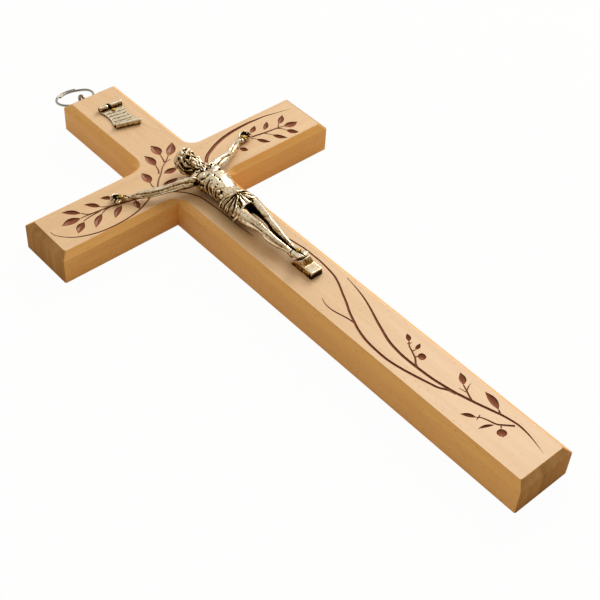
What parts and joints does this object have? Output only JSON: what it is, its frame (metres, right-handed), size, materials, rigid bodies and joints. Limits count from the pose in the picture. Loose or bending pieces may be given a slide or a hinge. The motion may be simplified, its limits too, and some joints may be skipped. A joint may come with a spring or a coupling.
{
  "type": "wall cross",
  "caption": "Carved beech wall cross with a cast silver figure on nails, a small curled scroll above it and a hanging ring in a screw eye at the head end.",
  "frame": {"origin": "middle of the crossing, on the flat back face", "axes": "the cross lies on its back: +X towards the viewer's right, +Y towards the head end and the hanging ring, +Z out of the carved front"},
  "size_m": [0.151, 0.3161, 0.0297],
  "materials": {
    "beech": "satin varnished beech",
    "antique_silver": "polished silver plate with dark patina in the hollows",
    "brass": "polished",
    "steel": "bright nickel-plated wire"
  },
  "bodies": {
    "cross": {"upright_beam": "beech", "cross_beam": "beech", "corpus": "antique_silver", "titulus_scroll": "antique_silver", "titulus_nail": "brass", "hand_nail_left": "brass", "hand_nail_right": "brass", "foot_nail": "brass", "screw_eye": "steel"},
    "ring": {"hanging_ring": "steel"}
  },
  "joints": [
    {"name": "ring_swing", "type": "hinge", "parent": "cross", "child": "ring", "pos_m": [-0.0012, 0.0791, 0.0071], "axis": [1, 0, 0], "range_deg": [-86, 124]}
  ]
}
